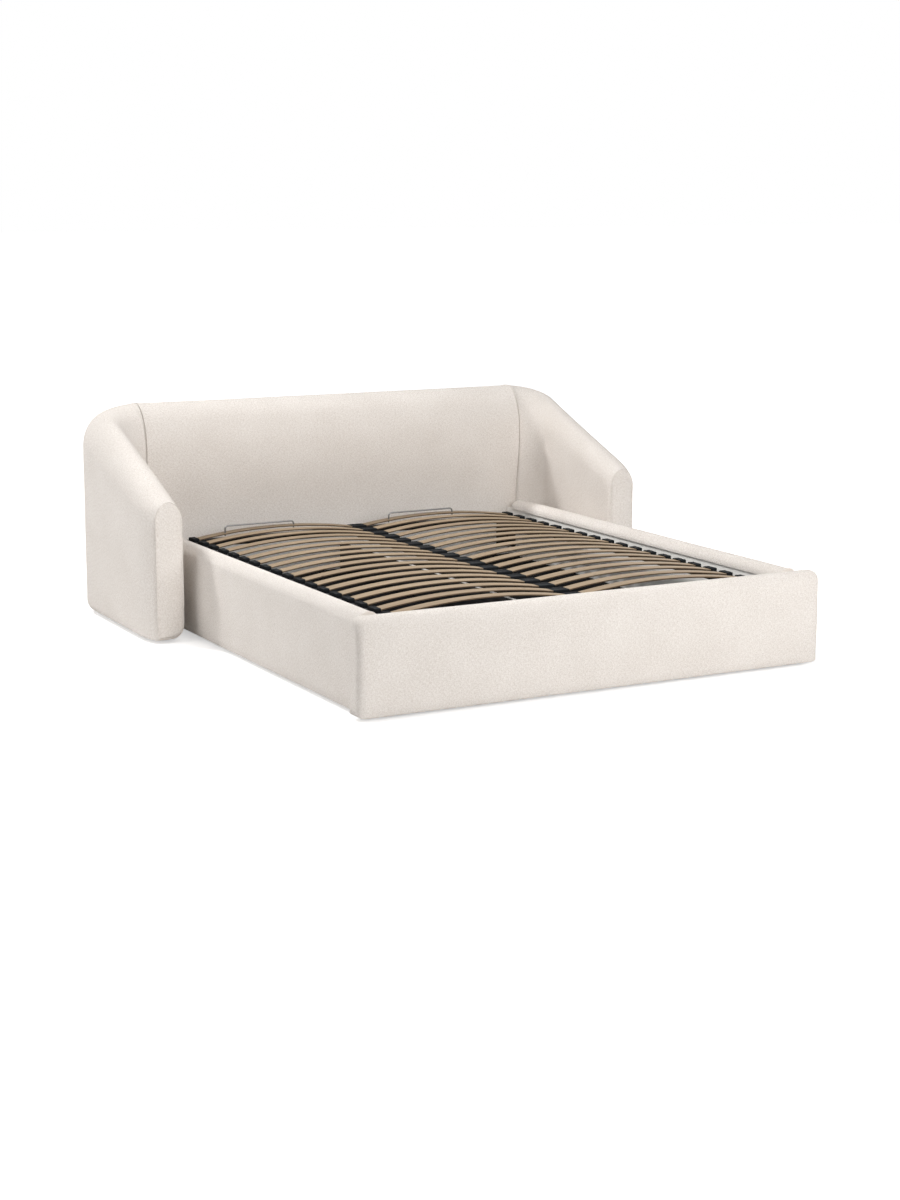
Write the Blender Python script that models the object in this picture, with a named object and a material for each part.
"""Upholstered storage bed for a 180 x 200 cm mattress, with a slatted platform that lifts.

Metres, +Z up. +X is the right side seen from the foot, +Y is the head end, and the origin is
on the floor, under the middle of the bed's bounding box.
"""

import math

import bmesh
import bpy
from mathutils import Matrix, Vector

# Clearances
GAP = 0.0003            # between two pieces that touch
RUNNING_GAP = 0.0003    # round a pin in its hole
OVERRUN = 0.02          # how far a cutter passes the face that it cuts
BLEND = 0.002           # how far a fused boss sinks into its plate
LEAST_RADIUS = 0.002    # of an edge on a drawn-in end

# Overall sizes
BED_LENGTH = 2.538
MATTRESS_BAY_WIDTH = 1.800
FLOOR_CLEARANCE = 0.012

# Rails: a board in a padded cover
RAIL_THICKNESS = 0.100
RAIL_HEIGHT = 0.385
RAIL_TOP_RADIUS = 0.044
RAIL_FOOT_RADIUS = 0.012
RAIL_CROWN = 0.004
SIDE_HEAD_RADIUS = 0.045
FOOT_OVERHANG = 0.045
FOOT_END_RADIUS = 0.032
BOARD_THICKNESS = 0.022
BOARD_BOTTOM = 0.030
BOARD_TOP = 0.345
LINING = 0.012
LIP_BOTTOM = 0.312
FOOT_BOARD_INSET = 0.065

# Headboard and wings
HEAD_HEIGHT = 0.938
HEAD_THICKNESS = 0.272
SEAM_TO_WING = 0.0985
HEAD_FRONT_ROLL_WIDTH = 0.131
HEAD_FRONT_ROLL_HEIGHT = 0.205
HEAD_BACK_ROLL_WIDTH = 0.141
HEAD_BACK_ROLL_HEIGHT = 0.141
HEAD_RECESS = 0.028
RAIL_TO_HEAD_GAP = 0.022
WING_GAP = 0.062
WING_THICKNESS = 0.160
WING_REACH = 0.669
WING_ROLL = 0.080
WING_FRONT_HEIGHT = 0.610
WING_SLOPE_RUN = 0.700
WING_SLOPE_RISE = 0.290
WING_TOP_BLEND = 0.060
WING_INNER_RADIUS = 0.050
WING_OUTER_RADIUS = 0.180
END_PANEL_DEPTH = 0.032
END_PANEL_RADIUS = 0.040
SEAM_DEPTH = 0.004
SEAM_WIDTH = 0.005
UNDERSIDE_RADIUS = 0.014

# Inside the storage space
HEAD_END_BOARD_THICKNESS = 0.018
HEAD_END_BOARD_TOP = 0.300
FLOOR_TOP = 0.120
FLOOR_THICKNESS = 0.008
LEDGE_WIDTH = 0.020
LEDGE_HEIGHT = 0.020
LEDGE_END_SPACE = 0.080
DIVIDER_THICKNESS = 0.016
DIVIDER_TOP = 0.250
REST_LEDGE_DEPTH = 0.090
REST_LEDGE_THICKNESS = 0.022
REST_LEDGE_INSET = 0.0375

# Glides
GLIDE_RADIUS = 0.018
GLIDE_STEM_RADIUS = 0.006
SIDE_GLIDE_SHARES = (0.06, 0.5, 0.94)
FOOT_GLIDE_SHARES = (0.08, 0.5, 0.92)
HEAD_GLIDE_SHARES = (-0.8, 0.8)

# Lifting frame
TUBE_WIDTH = 0.035
TUBE_HEIGHT = 0.035
TUBE_BOTTOM = 0.300
FRAME_SIDE_GAP = 0.0625
FRAME_FOOT_GAP = 0.061
FRAME_HEAD_GAP = 0.119

# Slats and their holders
SLAT_ROWS = 18
END_ROW_INSET = 0.0615
SLAT_WIDTH = 0.053
SLAT_THICKNESS = 0.008
SLAT_RISE = 0.033
SLAT_END_HEIGHT = 0.343
SLAT_INNER_END = 0.012
SLAT_OUTER_INSET = 0.0375
SLAT_SEGMENTS = 13
HOLDER_DEPTH = 0.061
HOLDER_TOP = 0.356
HOLDER_CHAMFER = 0.006
CENTRE_HOLDER_WIDTH = 0.072
SIDE_HOLDER_WIDTH = 0.040
SIDE_HOLDER_INSET = 0.0145

# Mattress retainers
WIRE_RADIUS = 0.003
RETAINER_WIDTH = 0.338
RETAINER_HEIGHT = 0.397
RETAINER_BEND = 0.014
RETAINER_FORWARD = 0.012
RETAINER_BELOW = 0.006
RETAINER_SHARES = {"left": 0.614, "right": 0.402}   # of a slat, from its inner end

# Lift mechanism
LIFT_AXIS_HEIGHT = 0.285
LIFT_AXIS_INSET = 0.005
PLATE_THICKNESS = 0.0055
BRACKET_BOTTOM = 0.260
BRACKET_TOP = 0.306
BRACKET_DROP = 0.160
BRACKET_DROP_WIDTH = 0.068
BRACKET_FLANGE = 0.070
BRACKET_FOOT_OVERHANG = 0.030
PIN_RADIUS = 0.006
PIN_BOSS_RADIUS = 0.010
PIN_HEAD_RADIUS = 0.009
PIN_HEAD_THICKNESS = 0.003
ARM_SIDE_GAP = 0.0015
ARM_LENGTH = 0.330
ARM_HEAD_OVERHANG = 0.028
ARM_BOTTOM = 0.262
ARM_TOP = 0.333
ARM_CORNER = 0.018

# Gas struts
STRUT_RADIUS = 0.0125
STRUT_BORE_RADIUS = 0.0085
STRUT_ROD_RADIUS = 0.004
STRUT_FOOT_DISTANCE = 0.580
STRUT_FOOT_DROP = 0.005
STRUT_HEAD_DISTANCE = 0.100
STRUT_HEAD_RISE = 0.015
STRUT_BODY_START = 0.030
STRUT_BODY_SHARE = 0.77
STRUT_BORE_SHARE = 0.50
STRUT_ROD_SHARE = 0.44
EYE_RADIUS = 0.011
EYE_THICKNESS = 0.014
EYE_NECK_RADIUS = 0.006
STUD_RADIUS = 0.004
STUD_OVERHANG = 0.003

# Finenesses, in counts
ROUND_SIDES = 20
WIRE_SIDES = 8
ROLL_STEPS = 6
END_STEPS = 5
SHARP_ANGLE = math.radians(40)

# Shares of a height, from the foot up
CROWN_SHARES = (0.25, 0.5, 0.75)
FACE_SHARES = (0.5, 0.6, 0.7, 0.8, 0.93)
RECESS_LOW_SHARE = 0.5
RECESS_HIGH_SHARE = 0.93

# Planes that several pieces share
FOOT_FRONT = -BED_LENGTH / 2 + RAIL_CROWN
FOOT_INNER = FOOT_FRONT + RAIL_THICKNESS
HEAD_BACK = BED_LENGTH / 2
HEAD_FACE = HEAD_BACK - HEAD_THICKNESS
HEAD_LOW_FACE = HEAD_FACE + HEAD_RECESS
RAIL_INNER = MATTRESS_BAY_WIDTH / 2
RAIL_OUTER = RAIL_INNER + RAIL_THICKNESS
BOARD_INNER = RAIL_INNER + LINING
BOARD_OUTER = BOARD_INNER + BOARD_THICKNESS
FOOT_BOARD_INNER = FOOT_INNER - LINING
FOOT_BOARD_OUTER = FOOT_BOARD_INNER - BOARD_THICKNESS
FOOT_HALF_WIDTH = RAIL_OUTER + FOOT_OVERHANG
SIDE_FOOT_END = FOOT_INNER + GAP
SIDE_HEAD_END = HEAD_LOW_FACE - RAIL_TO_HEAD_GAP
BOARD_HEAD_END = HEAD_LOW_FACE - GAP
HEAD_END_BOARD_FRONT = BOARD_HEAD_END - HEAD_END_BOARD_THICKNESS
FRAME_FOOT = FOOT_INNER + FRAME_FOOT_GAP
FRAME_HEAD = HEAD_LOW_FACE - FRAME_HEAD_GAP
FRAME_OUTER = RAIL_INNER - FRAME_SIDE_GAP
TUBE_TOP = TUBE_BOTTOM + TUBE_HEIGHT
SLAT_OUTER_END = FRAME_OUTER - SLAT_OUTER_INSET
SLAT_LENGTH = SLAT_OUTER_END - SLAT_INNER_END
SLAT_CENTRE = (SLAT_OUTER_END + SLAT_INNER_END) / 2
SLAT_RADIUS = (SLAT_LENGTH ** 2 / 4 + SLAT_RISE ** 2) / (2 * SLAT_RISE)
FIRST_ROW = FRAME_HEAD - END_ROW_INSET
SLAT_PITCH = (FIRST_ROW - FRAME_FOOT - END_ROW_INSET) / (SLAT_ROWS - 1)
WING_INNER = RAIL_OUTER + WING_GAP
WING_OUTER = WING_INNER + WING_THICKNESS
WING_FRONT = HEAD_FACE - WING_REACH - GAP
HEAD_HALF_WIDTH = WING_INNER - SEAM_TO_WING
LIFT_AXIS_Y = FRAME_HEAD - LIFT_AXIS_INSET
LIFT_AXIS = Vector((0, LIFT_AXIS_Y, LIFT_AXIS_HEIGHT))
BRACKET_OUTER = BOARD_INNER - GAP
BRACKET_INNER = BRACKET_OUTER - PLATE_THICKNESS
ARM_INNER = FRAME_OUTER + GAP
ARM_OUTER = ARM_INNER + PLATE_THICKNESS
STRUT_X = (ARM_OUTER + BRACKET_INNER) / 2
STRUT_FOOT = Vector((0, LIFT_AXIS_Y - STRUT_FOOT_DISTANCE, LIFT_AXIS_HEIGHT - STRUT_FOOT_DROP))
STRUT_HEAD = Vector((0, LIFT_AXIS_Y - STRUT_HEAD_DISTANCE, LIFT_AXIS_HEIGHT + STRUT_HEAD_RISE))
STRUT_LENGTH = (STRUT_HEAD - STRUT_FOOT).length
STRUT_ANGLE = math.atan2(STRUT_HEAD.z - STRUT_FOOT.z, STRUT_HEAD.y - STRUT_FOOT.y)
STRUT_BODY_END = STRUT_LENGTH * STRUT_BODY_SHARE

HEAD_ROLLS = (HEAD_FRONT_ROLL_WIDTH, HEAD_FRONT_ROLL_HEIGHT,
              HEAD_BACK_ROLL_WIDTH, HEAD_BACK_ROLL_HEIGHT)

SIDES = {"left": -1, "right": 1}


def clear_scene():
    for obj in list(bpy.data.objects):
        bpy.data.objects.remove(obj, do_unlink=True)


def material(name, colour, roughness, metallic=0.0):
    mat = bpy.data.materials.new(name)
    mat.use_nodes = True
    shader = mat.node_tree.nodes["Principled BSDF"]
    shader.inputs["Base Color"].default_value = (*colour, 1.0)
    shader.inputs["Roughness"].default_value = roughness
    shader.inputs["Metallic"].default_value = metallic
    return mat


def place(name, mesh, mat=None):
    obj = bpy.data.objects.new(name, mesh)
    bpy.context.scene.collection.objects.link(obj)
    if mat is not None and not mesh.materials:
        mesh.materials.append(mat)
    return obj


def finish(bm, name, mat=None, smooth=None):
    """Turn a bmesh into an object; smooth is the sharp angle of a round piece."""
    bmesh.ops.recalc_face_normals(bm, faces=bm.faces)
    mesh = bpy.data.meshes.new(name)
    bm.to_mesh(mesh)
    bm.free()
    if smooth is not None:
        mesh.shade_smooth()
        mesh.set_sharp_from_angle(angle=smooth)
    return place(name, mesh, mat)


def add_box(bm, low, high):
    """Add a box between two corners, given in any order."""
    low, high = Vector(low), Vector(high)
    size = high - low
    matrix = Matrix.Translation((low + high) / 2) @ Matrix.Diagonal((*[abs(s) for s in size], 1))
    bmesh.ops.create_cube(bm, size=1, matrix=matrix)


def box(name, low, high, mat=None):
    bm = bmesh.new()
    add_box(bm, low, high)
    return finish(bm, name, mat)


def add_rod(bm, start, end, radius, sides=ROUND_SIDES):
    """Add a round bar between two points."""
    start, end = Vector(start), Vector(end)
    run = end - start
    turn = run.to_track_quat("Z", "Y").to_matrix().to_4x4()
    matrix = Matrix.Translation((start + end) / 2) @ turn
    bmesh.ops.create_cone(bm, cap_ends=True, segments=sides, radius1=radius, radius2=radius,
                          depth=run.length, matrix=matrix)


def rod(name, start, end, radius, mat=None, sides=ROUND_SIDES):
    bm = bmesh.new()
    add_rod(bm, start, end, radius, sides)
    return finish(bm, name, mat, smooth=SHARP_ANGLE)


def skin(bm, rings):
    """Add a solid through rings of equally many points, closed at both ends."""
    rows = [[bm.verts.new(p) for p in ring] for ring in rings]
    count = len(rows[0])
    for here, there in zip(rows, rows[1:]):
        for i in range(count):
            j = (i + 1) % count
            bm.faces.new((here[i], here[j], there[j], there[i]))
    bm.faces.new(rows[0])
    bm.faces.new(rows[-1])


def loft(name, rings, mat=None, smooth=None):
    bm = bmesh.new()
    skin(bm, rings)
    return finish(bm, name, mat, smooth)


def prism(name, outline, start, end, mat=None):
    """Extrude an outline of (y, z) points along X."""
    rings = [[(x, y, z) for y, z in outline] for x in (start, end)]
    return loft(name, rings, mat)


def boolean(target, tool, operation):
    tool.hide_render = True
    tool.display_type = "WIRE"
    modifier = target.modifiers.new(tool.name, "BOOLEAN")
    modifier.operation = operation
    modifier.solver = "EXACT"
    modifier.object = tool


def cut(target, tool):
    boolean(target, tool, "DIFFERENCE")


def fuse(target, tool):
    boolean(target, tool, "UNION")


def empty(name, where):
    obj = bpy.data.objects.new(name, None)
    obj.location = where
    bpy.context.scene.collection.objects.link(obj)
    return obj


def hang(obj, axis):
    """Parent a moving piece to the empty on its joint's axis, where it stands."""
    bpy.context.view_layer.update()
    obj.parent = axis
    obj.matrix_parent_inverse = axis.matrix_world.inverted()


def arc(centre, radius, start, end, steps):
    """Points on an arc in a plane, both ends included, angles in degrees."""
    points = []
    for i in range(steps + 1):
        a = math.radians(start + (end - start) * i / steps)
        points.append((centre[0] + radius * math.cos(a), centre[1] + radius * math.sin(a)))
    return points


def round_inset(radius, depth):
    """How far a rounded end draws in, at a depth from its tip."""
    rest = max(radius - depth, 0)
    return radius - math.sqrt(radius ** 2 - rest ** 2)


# Rails

def rail_outline(inset):
    """A rail's outline: (across, up), across outwards, with a rounded top and full outer face."""
    half = RAIL_THICKNESS / 2 - inset
    top = RAIL_HEIGHT - inset
    bottom = FLOOR_CLEARANCE + inset
    r_top = max(RAIL_TOP_RADIUS - inset, LEAST_RADIUS)
    r_foot = max(RAIL_FOOT_RADIUS - inset, LEAST_RADIUS)
    outer = arc((half - r_foot, bottom + r_foot), r_foot, -90, 0, 2)
    crowned = arc((half - r_top, top - r_top), r_top, 0, 90, ROLL_STEPS)
    inner = [(-x, z) for x, z in reversed(outer + crowned)]
    bulge = [(half + RAIL_CROWN * math.sin(math.pi * s), bottom + (top - bottom) * s)
             for s in CROWN_SHARES]
    return outer + bulge + crowned + inner


def rail_rings(start, end, start_radius, end_radius, point):
    """Rings along a rail whose ends are square (radius 0) or rounded."""
    stations = []
    for i in range(END_STEPS + 1):
        share = 1 - math.cos(math.pi / 2 * i / END_STEPS)
        if start_radius:
            depth = start_radius * share
            stations.append((start + depth, round_inset(start_radius, depth)))
        elif i == 0:
            stations.append((start, 0))
    for i in range(END_STEPS, -1, -1):
        share = 1 - math.cos(math.pi / 2 * i / END_STEPS)
        if end_radius:
            depth = end_radius * share
            stations.append((end - depth, round_inset(end_radius, depth)))
        elif i == 0:
            stations.append((end, 0))
    return [[point(along, across, up) for across, up in rail_outline(inset)]
            for along, inset in stations]


def side_rail(side, mats):
    sign = SIDES[side]
    middle = sign * (RAIL_INNER + RAIL_THICKNESS / 2)
    rings = rail_rings(SIDE_FOOT_END, SIDE_HEAD_END, 0, SIDE_HEAD_RADIUS,
                       lambda along, across, up: (middle + sign * across, along, up))
    cover = loft(f"side_rail_cover_{side}", rings, mats["fabric"], SHARP_ANGLE)
    slot_inner, slot_outer = BOARD_INNER - GAP, BOARD_OUTER + GAP
    slot_top = BOARD_TOP + GAP
    below = -OVERRUN
    outline = [(RAIL_INNER - OVERRUN, below), (slot_outer, below), (slot_outer, slot_top),
               (slot_inner, slot_top), (slot_inner, LIP_BOTTOM),
               (RAIL_INNER - OVERRUN, LIP_BOTTOM)]
    ends = (SIDE_FOOT_END - OVERRUN, SIDE_HEAD_END + OVERRUN)
    slot = loft(f"side_slot_{side}", [[(sign * x, y, z) for x, z in outline] for y in ends])
    cut(cover, slot)

    board = box(f"side_rail_board_{side}", (sign * BOARD_INNER, SIDE_FOOT_END, BOARD_BOTTOM),
                (sign * BOARD_OUTER, BOARD_HEAD_END, BOARD_TOP), mats["board"])
    ledge_top = FLOOR_TOP - FLOOR_THICKNESS - GAP
    ledge = box(f"side_ledge_{side}",
                (sign * (BOARD_INNER - LEDGE_WIDTH), FOOT_INNER + LEDGE_END_SPACE,
                 ledge_top - LEDGE_HEIGHT),
                (sign * (BOARD_INNER + BLEND), HEAD_END_BOARD_FRONT - LEDGE_END_SPACE, ledge_top))
    fuse(board, ledge)
    run = BOARD_HEAD_END - SIDE_FOOT_END
    spots = [(sign * (BOARD_INNER + BOARD_OUTER) / 2, SIDE_FOOT_END + run * s)
             for s in SIDE_GLIDE_SHARES]
    add_glides(board, f"side_glides_{side}", spots, BOARD_BOTTOM)


def foot_rail(mats):
    middle = FOOT_INNER - RAIL_THICKNESS / 2
    rings = rail_rings(-FOOT_HALF_WIDTH, FOOT_HALF_WIDTH, FOOT_END_RADIUS, FOOT_END_RADIUS,
                       lambda along, across, up: (along, middle - across, up))
    cover = loft("foot_rail_cover", rings, mats["fabric"], SHARP_ANGLE)
    half = FOOT_HALF_WIDTH - FOOT_BOARD_INSET
    slot = box("foot_slot", (-half - GAP, FOOT_BOARD_OUTER - GAP, -OVERRUN),
               (half + GAP, FOOT_BOARD_INNER + GAP, BOARD_TOP + GAP))
    cut(cover, slot)
    lip = box("foot_lip", (-BOARD_INNER, FOOT_BOARD_INNER - GAP, -OVERRUN),
              (BOARD_INNER, FOOT_INNER + OVERRUN, LIP_BOTTOM))
    cut(cover, lip)

    board = box("foot_rail_board", (-half, FOOT_BOARD_OUTER, BOARD_BOTTOM),
                (half, FOOT_BOARD_INNER, BOARD_TOP), mats["board"])
    rest_top = TUBE_BOTTOM - GAP
    reach = FRAME_OUTER - REST_LEDGE_INSET
    rest = box("rest_ledge",
               (-reach, FOOT_BOARD_INNER - BLEND, rest_top - REST_LEDGE_THICKNESS),
               (reach, FOOT_BOARD_INNER + REST_LEDGE_DEPTH, rest_top))
    fuse(board, rest)
    spots = [(-half + 2 * half * s, (FOOT_BOARD_INNER + FOOT_BOARD_OUTER) / 2)
             for s in FOOT_GLIDE_SHARES]
    add_glides(board, "foot_glides", spots, BOARD_BOTTOM)


def add_glides(board, name, spots, underside):
    """Screw-in glides under a board: a disc on the floor and a stem up to the board."""
    bm = bmesh.new()
    disc_top = FLOOR_CLEARANCE - GAP
    steps = [(0, GLIDE_RADIUS), (disc_top, GLIDE_RADIUS), (disc_top, GLIDE_STEM_RADIUS),
             (underside + BLEND, GLIDE_STEM_RADIUS)]
    last_angle = 360 - 360 / ROUND_SIDES
    for spot in spots:
        skin(bm, [[(x, y, z) for x, y in arc(spot, radius, 0, last_angle, ROUND_SIDES - 1)]
                  for z, radius in steps])
    fuse(board, finish(bm, name))


# Headboard and wings

def pad_ring(inner, outer, top, rolls, recess, inset=0):
    """One upright section of a pad, from its inner foot over the rolled top to its back.

    inner and outer are plan points on the two faces. rolls holds the widths and heights of
    the rolled inner and outer top edges. recess is how far the lower inner face draws back.
    """
    inner, outer = Vector(inner), Vector(outer)
    across = (outer - inner).normalized()
    thickness = (outer - inner).length - 2 * inset
    start = inner + across * inset
    in_width, in_height, out_width, out_height = rolls
    total = in_width + out_width
    in_width, out_width = (thickness * w / total for w in (in_width, out_width))
    top -= inset
    bottom = FLOOR_CLEARANCE + inset
    under = max(UNDERSIDE_RADIUS - inset, LEAST_RADIUS)
    inner_spring, outer_spring = top - in_height, top - out_height

    def drawn_back(share):
        span = RECESS_HIGH_SHARE - RECESS_LOW_SHARE
        t = min(max((RECESS_HIGH_SHARE - share) / span, 0), 1)
        return recess * (1 - math.cos(math.pi * t)) / 2

    points = [(recess + under, bottom), (recess, bottom + under)]
    points += [(drawn_back(s), inner_spring * s) for s in FACE_SHARES]
    for i in range(ROLL_STEPS + 1):
        a = math.pi / 2 * i / ROLL_STEPS
        points.append((in_width * (1 - math.cos(a)), inner_spring + in_height * math.sin(a)))
    for i in range(1, ROLL_STEPS + 1):
        a = math.pi / 2 * (1 - i / ROLL_STEPS)
        points.append((thickness - out_width * (1 - math.cos(a)),
                       outer_spring + out_height * math.sin(a)))
    points.append((thickness, outer_spring / 2))
    points += [(thickness, bottom + under), (thickness - under, bottom)]
    ring = []
    for offset, z in points:
        p = start + across * offset
        ring.append((p.x, p.y, z))
    return ring


def headboard_centre(mats):
    edge = HEAD_HALF_WIDTH - GAP / 2
    rings = []
    for x, inset in ((-edge, SEAM_DEPTH), (-edge + SEAM_WIDTH, 0), (0, 0),
                     (edge - SEAM_WIDTH, 0), (edge, SEAM_DEPTH)):
        rings.append(pad_ring((x, HEAD_FACE), (x, HEAD_BACK), HEAD_HEIGHT, HEAD_ROLLS,
                              HEAD_RECESS, inset))
    pad = loft("headboard_centre", rings, mats["fabric"], SHARP_ANGLE)
    middle = (HEAD_LOW_FACE + HEAD_BACK) / 2
    spots = [(HEAD_HALF_WIDTH * s, middle) for s in HEAD_GLIDE_SHARES]
    add_glides(pad, "head_glides", spots, FLOOR_CLEARANCE)


def smooth_lesser(a, b, blend):
    """The lesser of two heights, eased where they cross."""
    h = max(blend - abs(a - b), 0) / blend
    return min(a, b) - h * h * blend / 4


def wing(side, mats):
    """A wing: it leaves the headboard at the seam, turns the corner and slopes to its front."""
    sign = SIDES[side]
    seam = HEAD_HALF_WIDTH + GAP / 2
    in_centre = (WING_INNER - WING_INNER_RADIUS, HEAD_FACE - WING_INNER_RADIUS)
    out_centre = (WING_OUTER - WING_OUTER_RADIUS, HEAD_BACK - WING_OUTER_RADIUS)
    steps = END_STEPS
    inner = [(seam, HEAD_FACE), (seam + SEAM_WIDTH, HEAD_FACE)]
    outer = [(seam, HEAD_BACK), (seam + SEAM_WIDTH, HEAD_BACK)]
    inner += arc(in_centre, WING_INNER_RADIUS, 90, 0, steps)
    outer += arc(out_centre, WING_OUTER_RADIUS, 90, 0, steps)
    tip = WING_FRONT + END_PANEL_DEPTH
    begin_in, begin_out = in_centre[1], out_centre[1]
    for i in range(1, steps + 1):
        share = i / steps
        inner.append((WING_INNER, begin_in + (tip - begin_in) * share))
        outer.append((WING_OUTER, begin_out + (tip - begin_out) * share))
    insets = [SEAM_DEPTH] + [0] * (len(inner) - 1)
    for i in range(1, END_STEPS):
        share = math.sin(math.pi / 2 * i / END_STEPS)
        depth = END_PANEL_DEPTH * share
        inner.append((WING_INNER, tip - depth))
        outer.append((WING_OUTER, tip - depth))
        insets.append(END_PANEL_RADIUS * (1 - math.sqrt(1 - share ** 2)))

    ridge = [((a[0] + b[0]) / 2, (a[1] + b[1]) / 2) for a, b in zip(inner, outer)]
    run = [0]
    for here, there in zip(ridge, ridge[1:]):
        run.append(run[-1] + math.hypot(there[0] - here[0], there[1] - here[1]))
    full_run = run[steps * 2 + 2]
    rings = []
    for a, b, inset, along in zip(inner, outer, insets, run):
        to_go = max(full_run - along, 0)
        slope_height = WING_FRONT_HEIGHT + to_go * WING_SLOPE_RISE / WING_SLOPE_RUN
        top = smooth_lesser(HEAD_HEIGHT, slope_height, WING_TOP_BLEND)
        if along == 0:
            top = HEAD_HEIGHT
        share = min(along / full_run, 1)
        ease = share * share * (3 - 2 * share)
        rolls = [h + (WING_ROLL - h) * ease for h in HEAD_ROLLS]
        ring = pad_ring(a, b, top, rolls, HEAD_RECESS * (1 - ease), inset)
        rings.append([(sign * x, y, z) for x, y, z in ring])
    pad = loft(f"headboard_wing_{side}", rings, mats["fabric"], SHARP_ANGLE)
    middle = sign * (WING_INNER + WING_OUTER) / 2
    spots = [(middle, WING_FRONT + WING_THICKNESS), (middle, HEAD_FACE - WING_THICKNESS)]
    add_glides(pad, f"wing_glides_{side}", spots, FLOOR_CLEARANCE)


# Storage space

def head_end_board(mats):
    edge = BOARD_INNER - GAP
    box("head_end_board", (-edge, HEAD_END_BOARD_FRONT, BOARD_BOTTOM),
        (edge, BOARD_HEAD_END, HEAD_END_BOARD_TOP), mats["board"])


def centre_divider(mats):
    half = DIVIDER_THICKNESS / 2
    foot, head = FOOT_BOARD_INNER + GAP, HEAD_END_BOARD_FRONT - GAP
    board = box("centre_divider", (-half, foot, BOARD_BOTTOM), (half, head, DIVIDER_TOP),
                mats["board"])
    ledge_top = FLOOR_TOP - FLOOR_THICKNESS - GAP
    ledge = box("divider_ledges",
                (-half - LEDGE_WIDTH, foot + LEDGE_END_SPACE, ledge_top - LEDGE_HEIGHT),
                (half + LEDGE_WIDTH, head - LEDGE_END_SPACE, ledge_top))
    fuse(board, ledge)
    spots = [(0, foot + (head - foot) * s) for s in SIDE_GLIDE_SHARES]
    add_glides(board, "divider_glides", spots, BOARD_BOTTOM)


def storage_floor(side, mats):
    sign = SIDES[side]
    box(f"storage_floor_{side}",
        (sign * (DIVIDER_THICKNESS / 2 + GAP), FOOT_BOARD_INNER + GAP,
         FLOOR_TOP - FLOOR_THICKNESS),
        (sign * (BOARD_INNER - GAP), HEAD_END_BOARD_FRONT - GAP, FLOOR_TOP), mats["lining"])


# Slatted platform

def slat_height(offset):
    """Height of the slat's middle surface, at a distance from its centre."""
    fall = SLAT_RADIUS - math.sqrt(SLAT_RADIUS ** 2 - offset ** 2)
    return SLAT_END_HEIGHT + SLAT_RISE - fall


def slat_rings(clearance=0.0):
    """Rings of one bowed slat about its own centre, or of the space round it."""
    reach = SLAT_LENGTH / 2
    half_width = SLAT_WIDTH / 2 + clearance
    half_thick = SLAT_THICKNESS / 2 + clearance
    swing = math.asin(reach / SLAT_RADIUS) + clearance / SLAT_RADIUS
    rings = []
    for i in range(SLAT_SEGMENTS + 1):
        a = swing * (2 * i / SLAT_SEGMENTS - 1)
        ring = []
        for y, t in ((-half_width, -half_thick), (half_width, -half_thick),
                     (half_width, half_thick), (-half_width, half_thick)):
            r = SLAT_RADIUS + t
            z = SLAT_END_HEIGHT + SLAT_RISE - SLAT_RADIUS + r * math.cos(a)
            ring.append((r * math.sin(a), y, z))
        rings.append(ring)
    return rings


def row_position(row):
    return FIRST_ROW - row * SLAT_PITCH


def slats(mats, axis):
    pattern = loft("slat_pattern", slat_rings(), mats["wood"])
    mesh = pattern.data
    bpy.data.objects.remove(pattern)
    for side, sign in SIDES.items():
        for row in range(SLAT_ROWS):
            slat = place(f"slat_{side}_{row + 1:02d}", mesh)
            slat.location = (sign * SLAT_CENTRE, row_position(row), 0)
            hang(slat, axis)
            if row == 0:
                drill_retainer_holes(slat, side)


def retainer_legs(side):
    middle = SIDES[side] * (SLAT_INNER_END + SLAT_LENGTH * RETAINER_SHARES[side])
    return middle - RETAINER_WIDTH / 2, middle + RETAINER_WIDTH / 2


def drill_retainer_holes(slat, side):
    bm = bmesh.new()
    y = row_position(0) - RETAINER_FORWARD
    for x in retainer_legs(side):
        add_rod(bm, (x, y, TUBE_TOP - OVERRUN), (x, y, RETAINER_HEIGHT), WIRE_RADIUS + GAP,
                WIRE_SIDES)
    cut(slat, finish(bm, f"retainer_holes_{side}"))


def lifting_frame(mats, axis):
    """Welded frame of square tube with the moulded slat holders clipped on."""
    frame = box("lifting_frame", (-FRAME_OUTER, FRAME_FOOT, TUBE_BOTTOM),
                (FRAME_OUTER, FRAME_HEAD, TUBE_TOP), mats["holder"])
    bm = bmesh.new()
    for sign in SIDES.values():
        add_box(bm, (sign * TUBE_WIDTH / 2, FRAME_FOOT + TUBE_WIDTH, TUBE_BOTTOM - OVERRUN),
                (sign * (FRAME_OUTER - TUBE_WIDTH), FRAME_HEAD - TUBE_WIDTH, TUBE_TOP + OVERRUN))
    cut(frame, finish(bm, "frame_windows"))

    bm = bmesh.new()
    half = CENTRE_HOLDER_WIDTH / 2
    outer = FRAME_OUTER - SIDE_HOLDER_INSET
    spans = [(-half, half), (outer - SIDE_HOLDER_WIDTH, outer),
             (-outer, SIDE_HOLDER_WIDTH - outer)]
    for row in range(SLAT_ROWS):
        for low, high in spans:
            add_holder(bm, low, high, row_position(row))
    fuse(frame, finish(bm, "slat_holders"))

    bm = bmesh.new()
    for sign in SIDES.values():
        for row in range(SLAT_ROWS):
            middle, y = sign * SLAT_CENTRE, row_position(row)
            skin(bm, [[(px + middle, py + y, pz) for px, py, pz in ring]
                      for ring in slat_rings(GAP)])
    cut(frame, finish(bm, "slat_pockets"))
    hang(frame, axis)


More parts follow.
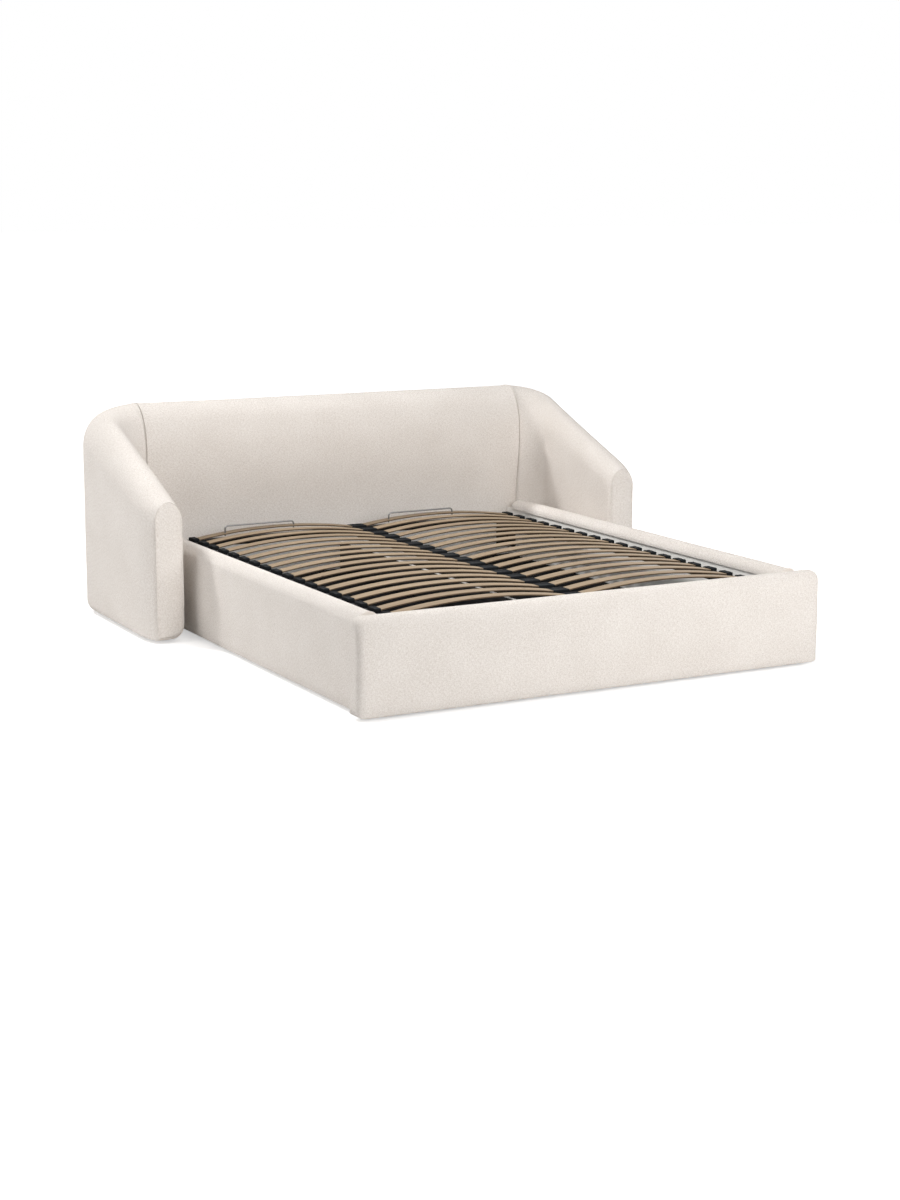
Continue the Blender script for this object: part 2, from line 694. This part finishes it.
def add_holder(bm, low, high, y):
    """Add one slat holder: a block with chamfered top edges."""
    half = HOLDER_DEPTH / 2
    step = half - HOLDER_CHAMFER
    outline = [(y - half, TUBE_TOP - BLEND), (y + half, TUBE_TOP - BLEND),
               (y + half, HOLDER_TOP - HOLDER_CHAMFER), (y + step, HOLDER_TOP),
               (y - step, HOLDER_TOP), (y - half, HOLDER_TOP - HOLDER_CHAMFER)]
    skin(bm, [[(x, py, pz) for py, pz in outline] for x in (low, high)])


def mattress_retainer(side, mats, axis):
    """A bent wire whose two legs stand in holes through the first slat."""
    left, right = retainer_legs(side)
    y = row_position(0) - RETAINER_FORWARD
    centre = SIDES[side] * SLAT_CENTRE
    feet = [slat_height(x - centre) - SLAT_THICKNESS / 2 - RETAINER_BELOW for x in (left, right)]
    bend = RETAINER_HEIGHT - RETAINER_BEND
    points = [(left, feet[0])]
    points += arc((left + RETAINER_BEND, bend), RETAINER_BEND, 180, 90, 4)
    points += arc((right - RETAINER_BEND, bend), RETAINER_BEND, 90, 0, 4)
    points.append((right, feet[1]))
    curve = bpy.data.curves.new(f"mattress_retainer_{side}", "CURVE")
    curve.dimensions = "3D"
    curve.bevel_depth = WIRE_RADIUS
    curve.bevel_resolution = WIRE_SIDES // 4
    curve.use_fill_caps = True
    spline = curve.splines.new("POLY")
    spline.points.add(len(points) - 1)
    for slot, (x, z) in zip(spline.points, points):
        slot.co = (x, y, z, 1)
    curve.materials.append(mats["steel"])
    wire = bpy.data.objects.new(f"mattress_retainer_{side}", curve)
    bpy.context.scene.collection.objects.link(wire)
    hang(wire, axis)


# Lift mechanism

def lift_bracket(side, mats):
    """Plate on the side board with the hinge pin, the strut's stud and a corner flange."""
    sign = SIDES[side]
    foot = STRUT_FOOT.y - BRACKET_FOOT_OVERHANG
    head = HEAD_END_BOARD_FRONT - GAP
    drop = head - BRACKET_DROP_WIDTH
    outline = [(foot, BRACKET_BOTTOM), (drop, BRACKET_BOTTOM), (drop, BRACKET_DROP),
               (head, BRACKET_DROP), (head, BRACKET_TOP), (foot, BRACKET_TOP)]
    plate = prism(f"lift_bracket_{side}", outline, sign * BRACKET_INNER, sign * BRACKET_OUTER,
                  mats["dark_steel"])
    flange = box(f"bracket_flange_{side}",
                 (sign * (BRACKET_OUTER - BRACKET_FLANGE), head - PLATE_THICKNESS, BRACKET_DROP),
                 (sign * (BRACKET_OUTER - BLEND), head, BRACKET_TOP))
    fuse(plate, flange)
    y, z = LIFT_AXIS.y, LIFT_AXIS.z
    root = sign * (BRACKET_INNER + BLEND)
    shoulder = sign * (ARM_OUTER + ARM_SIDE_GAP)
    pin_head = sign * (ARM_INNER - ARM_SIDE_GAP)
    pin_tip = sign * (ARM_INNER - ARM_SIDE_GAP - PIN_HEAD_THICKNESS)
    inside = sign * BLEND
    fuse(plate, rod(f"pin_boss_{side}", (root, y, z), (shoulder, y, z), PIN_BOSS_RADIUS))
    fuse(plate, rod(f"pin_{side}", (shoulder + inside, y, z), (pin_head - inside, y, z),
                    PIN_RADIUS))
    fuse(plate, rod(f"pin_head_{side}", (pin_head, y, z), (pin_tip, y, z), PIN_HEAD_RADIUS))
    y, z = STRUT_FOOT.y, STRUT_FOOT.z
    stud_tip = sign * (STRUT_X - EYE_THICKNESS / 2 - STUD_OVERHANG)
    fuse(plate, rod(f"foot_stud_{side}", (root, y, z), (stud_tip, y, z), STUD_RADIUS))


def rounded_rectangle(low, high, radius, steps=4):
    """Outline of a rectangle in (y, z) with round corners."""
    points = []
    for cy, cz, start in ((high[0] - radius, low[1] + radius, -90),
                          (high[0] - radius, high[1] - radius, 0),
                          (low[0] + radius, high[1] - radius, 90),
                          (low[0] + radius, low[1] + radius, 180)):
        points += arc((cy, cz), radius, start, start + 90, steps)
    return points


def lift_arm(side, mats, axis):
    """Plate on the frame's side tube, with the hinge hole and the strut's other stud."""
    sign = SIDES[side]
    head = LIFT_AXIS.y + ARM_HEAD_OVERHANG
    outline = rounded_rectangle((head - ARM_LENGTH, ARM_BOTTOM), (head, ARM_TOP), ARM_CORNER)
    arm = prism(f"lift_arm_{side}", outline, sign * ARM_INNER, sign * ARM_OUTER,
                mats["dark_steel"])
    y, z = LIFT_AXIS.y, LIFT_AXIS.z
    cut(arm, rod(f"arm_hole_{side}", (sign * (ARM_INNER - OVERRUN), y, z),
                 (sign * (ARM_OUTER + OVERRUN), y, z), PIN_RADIUS + RUNNING_GAP))
    y, z = STRUT_HEAD.y, STRUT_HEAD.z
    fuse(arm, rod(f"head_stud_{side}", (sign * (ARM_OUTER - BLEND), y, z),
                  (sign * (STRUT_X + EYE_THICKNESS / 2 + STUD_OVERHANG), y, z), STUD_RADIUS))
    hang(arm, axis)


def strut_point(sign, along):
    """A point on the strut's axis, at a distance from its foot."""
    return Vector((sign * STRUT_X, STRUT_FOOT.y + along * math.cos(STRUT_ANGLE),
                   STRUT_FOOT.z + along * math.sin(STRUT_ANGLE)))


def eye(target, label, sign, centre):
    """Fuse an eye round a stud onto the end of a strut and bore it."""
    reach = sign * EYE_THICKNESS / 2
    low, high = Vector(centre), Vector(centre)
    low.x -= reach
    high.x += reach
    fuse(target, rod(f"eye_{label}", low, high, EYE_RADIUS))
    low.x -= sign * OVERRUN
    high.x += sign * OVERRUN
    cut(target, rod(f"eye_bore_{label}", low, high, STUD_RADIUS + RUNNING_GAP))


def strut_cylinder(side, mats, axis):
    sign = SIDES[side]
    start, end = strut_point(sign, STRUT_BODY_START), strut_point(sign, STRUT_BODY_END)
    body = rod(f"strut_cylinder_{side}", start, end, STRUT_RADIUS, mats["dark_steel"])
    bore_end = STRUT_BODY_END - STRUT_LENGTH * STRUT_BORE_SHARE
    cut(body, rod(f"strut_bore_{side}", strut_point(sign, bore_end),
                  strut_point(sign, STRUT_BODY_END + OVERRUN), STRUT_BORE_RADIUS))
    fuse(body, rod(f"cylinder_neck_{side}", strut_point(sign, EYE_RADIUS - BLEND),
                   strut_point(sign, STRUT_BODY_START + BLEND), EYE_NECK_RADIUS))
    eye(body, f"foot_{side}", sign, strut_point(sign, 0))
    hang(body, axis)


def strut_rod(side, mats, axis):
    sign = SIDES[side]
    inner_end = STRUT_BODY_END - STRUT_LENGTH * STRUT_ROD_SHARE
    bar = rod(f"strut_rod_{side}", strut_point(sign, inner_end),
              strut_point(sign, STRUT_LENGTH - EYE_RADIUS + BLEND), STRUT_ROD_RADIUS,
              mats["steel"])
    eye(bar, f"head_{side}", sign, strut_point(sign, STRUT_LENGTH))
    hang(bar, axis)


def main():
    clear_scene()
    mats = {
        "fabric": material("fabric", (0.79, 0.74, 0.68), 0.95),
        "wood": material("beech", (0.36, 0.26, 0.17), 0.6),
        "holder": material("black_plastic", (0.02, 0.022, 0.025), 0.6),
        "steel": material("steel", (0.45, 0.45, 0.46), 0.35, 1.0),
        "dark_steel": material("dark_steel", (0.04, 0.04, 0.045), 0.5, 0.6),
        "board": material("board", (0.55, 0.54, 0.53), 0.7),
        "lining": material("lining", (0.01, 0.01, 0.01), 0.9),
    }
    lift_axis = empty("lift_axis", LIFT_AXIS)
    headboard_centre(mats)
    foot_rail(mats)
    head_end_board(mats)
    centre_divider(mats)
    lifting_frame(mats, lift_axis)
    slats(mats, lift_axis)
    for side, sign in SIDES.items():
        wing(side, mats)
        side_rail(side, mats)
        storage_floor(side, mats)
        mattress_retainer(side, mats, lift_axis)
        lift_bracket(side, mats)
        lift_arm(side, mats, lift_axis)
        strut_cylinder(side, mats, empty(f"strut_foot_{side}", strut_point(sign, 0)))
        strut_rod(side, mats, empty(f"strut_head_{side}", strut_point(sign, STRUT_LENGTH)))


main()
